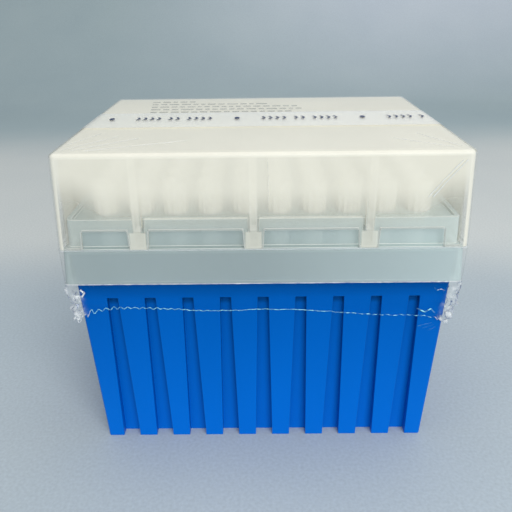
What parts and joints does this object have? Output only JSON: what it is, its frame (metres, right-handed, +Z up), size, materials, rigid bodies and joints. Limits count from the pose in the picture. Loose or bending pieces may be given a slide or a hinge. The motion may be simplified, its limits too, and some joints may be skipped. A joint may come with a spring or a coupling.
{
  "type": "box of pipette tips",
  "caption": "Closed box with a fluted base, a deck that holds rows of long tips, and a tall clear lid, sealed in shrink film with a tear tape.",
  "frame": {"origin": "middle of the base's underside, on the table", "axes": "+Z up, +X along the box's length, and -Y out of the wall whose lid edge has the windows"},
  "size_m": [0.1234, 0.0932, 0.1057],
  "materials": {
    "blue_moulding": "satin moulded polypropylene",
    "clear_moulding": "translucent polypropylene",
    "frosted_moulding": "frosted translucent polypropylene",
    "clear_film": "clear shrink film",
    "white_tape": "translucent printed film tape",
    "natural_tip": "natural polypropylene"
  },
  "bodies": {
    "root": {"base": "blue_moulding", "rack": "clear_moulding", "lid": "frosted_moulding", "shrink_film": "clear_film", "tear_tape": "white_tape", "tip_column_01": "natural_tip", "tip_column_02": "natural_tip", "tip_column_03": "natural_tip", "tip_column_04": "natural_tip", "tip_column_05": "natural_tip", "tip_column_06": "natural_tip", "tip_column_07": "natural_tip", "tip_column_08": "natural_tip", "tip_column_09": "natural_tip", "tip_column_10": "natural_tip"}
  },
  "joints": []
}
